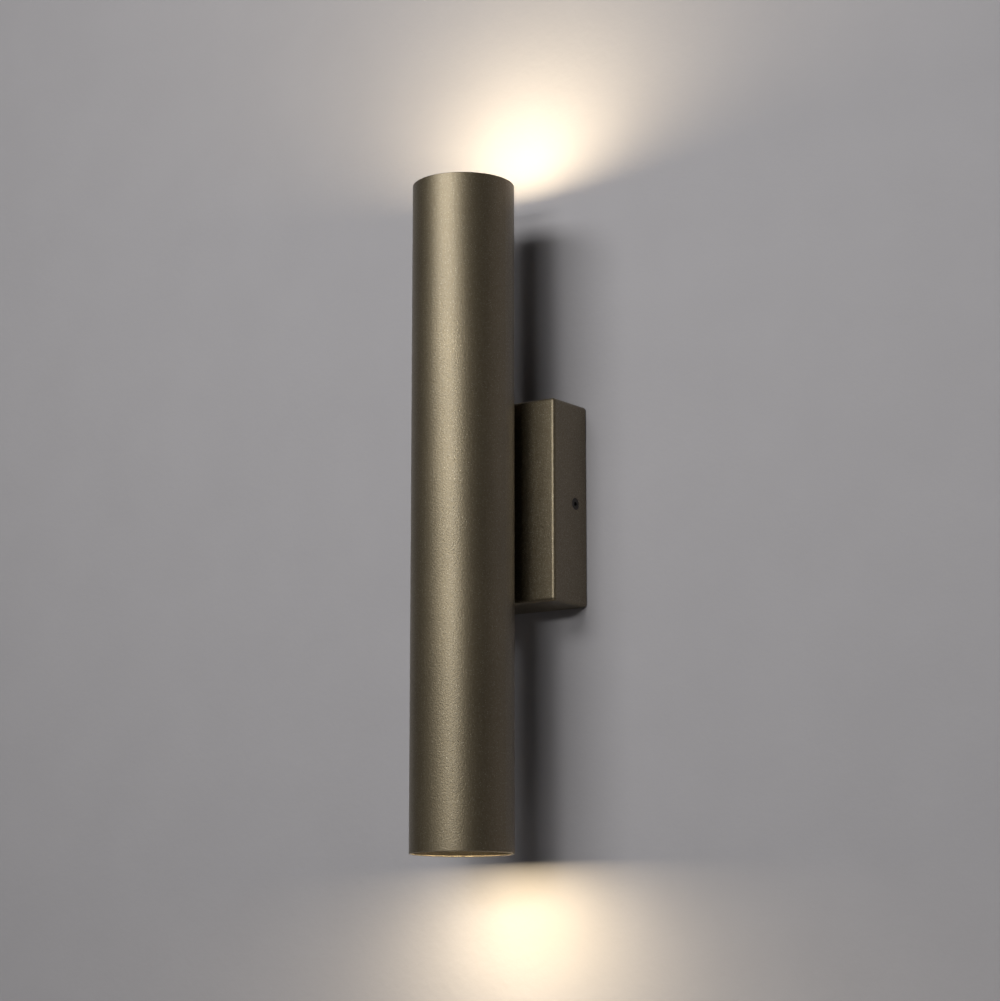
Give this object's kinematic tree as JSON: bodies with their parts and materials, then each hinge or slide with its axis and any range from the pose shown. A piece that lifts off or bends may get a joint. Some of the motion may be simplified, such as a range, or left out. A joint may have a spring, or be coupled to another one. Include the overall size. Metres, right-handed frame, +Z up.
{
  "type": "tube wall light",
  "caption": "Upright tube wall light, lit from both ends by twist-lock reflector lamps, on a flat box that hides its wall bracket and wiring.",
  "frame": {"origin": "on the wall, midway between the two wall-screw holes and behind the middle of the box", "axes": "+X to the right as seen by someone who faces the light, +Y into the wall, +Z up along the tube"},
  "size_m": [0.085, 0.0966, 0.392],
  "materials": {
    "bronze_coat": "dark bronze powder coat, satin, with fine metallic sparkle and a light grain",
    "dark_screw": "black plated steel with a bright glint in its socket",
    "zinc_steel": "bright zinc plate",
    "brass": "turned brass",
    "tinned_copper": "tinned copper alloy strip",
    "steatite": "unglazed pale steatite",
    "holder_plastic": "black heat-proof moulding",
    "white_plastic": "natural nylon moulding",
    "terminal_plastic": "translucent-looking natural polyamide",
    "black_rubber": "soft matt rubber",
    "lamp_plastic": "white lamp base moulding",
    "lamp_aluminium": "satin die-cast aluminium",
    "board_white": "white solder-masked board",
    "phosphor": "yellow phosphor, lit",
    "lens_frosted": "lit frosted lens with a fine prism pattern",
    "live_insulation": "brown silicone insulation",
    "neutral_insulation": "blue silicone insulation",
    "earth_insulation": "green insulation with a yellow stripe"
  },
  "bodies": {
    "fixture": {"body_earth_lead": "earth_insulation", "body_earth_tag": "tinned_copper", "box_cover": "bronze_coat", "bracket_earth_lead": "earth_insulation", "bracket_earth_screw": "brass", "bracket_earth_tag": "tinned_copper", "bracket_earth_washer": "zinc_steel", "cable_clamp": "white_plastic", "cable_clamp_screws": "zinc_steel", "entry_grommet": "black_rubber", "holder_nuts": "zinc_steel", "holder_screws": "zinc_steel", "lamp_carrier": "zinc_steel", "lower_holder_body": "steatite", "lower_holder_cap": "holder_plastic", "lower_holder_contacts": "tinned_copper", "lower_live_lead": "live_insulation", "lower_neutral_lead": "neutral_insulation", "nipple_bushes": "white_plastic", "nipple_nuts": "zinc_steel", "nipple_washers": "zinc_steel", "saddle_spacer": "bronze_coat", "side_screws": "dark_screw", "terminal_body": "terminal_plastic", "terminal_fixing_screws": "zinc_steel", "terminal_inserts": "brass", "terminal_screws": "zinc_steel", "threaded_nipple": "zinc_steel", "tube_body": "bronze_coat", "upper_holder_body": "steatite", "upper_holder_cap": "holder_plastic", "upper_holder_contacts": "tinned_copper", "upper_live_lead": "live_insulation", "upper_neutral_lead": "neutral_insulation", "wall_bracket": "zinc_steel"},
    "upper_lamp": {"upper_lamp_base": "lamp_plastic", "upper_lamp_board": "board_white", "upper_lamp_emitter": "phosphor", "upper_lamp_housing": "lamp_aluminium", "upper_lamp_lens": "lens_frosted", "upper_lamp_pins": "tinned_copper"},
    "lower_lamp": {"lower_lamp_base": "lamp_plastic", "lower_lamp_board": "board_white", "lower_lamp_emitter": "phosphor", "lower_lamp_housing": "lamp_aluminium", "lower_lamp_lens": "lens_frosted", "lower_lamp_pins": "tinned_copper"}
  },
  "joints": [
    {"name": "upper_lamp_twist", "type": "hinge", "parent": "fixture", "child": "upper_lamp", "pos_m": [0, -0.0666, 0.1327], "axis": [0, 0, 1], "range_deg": [0, 45]},
    {"name": "lower_lamp_twist", "type": "hinge", "parent": "fixture", "child": "lower_lamp", "pos_m": [0, -0.0666, -0.1513], "axis": [0, 0, -1], "range_deg": [0, 45]}
  ]
}
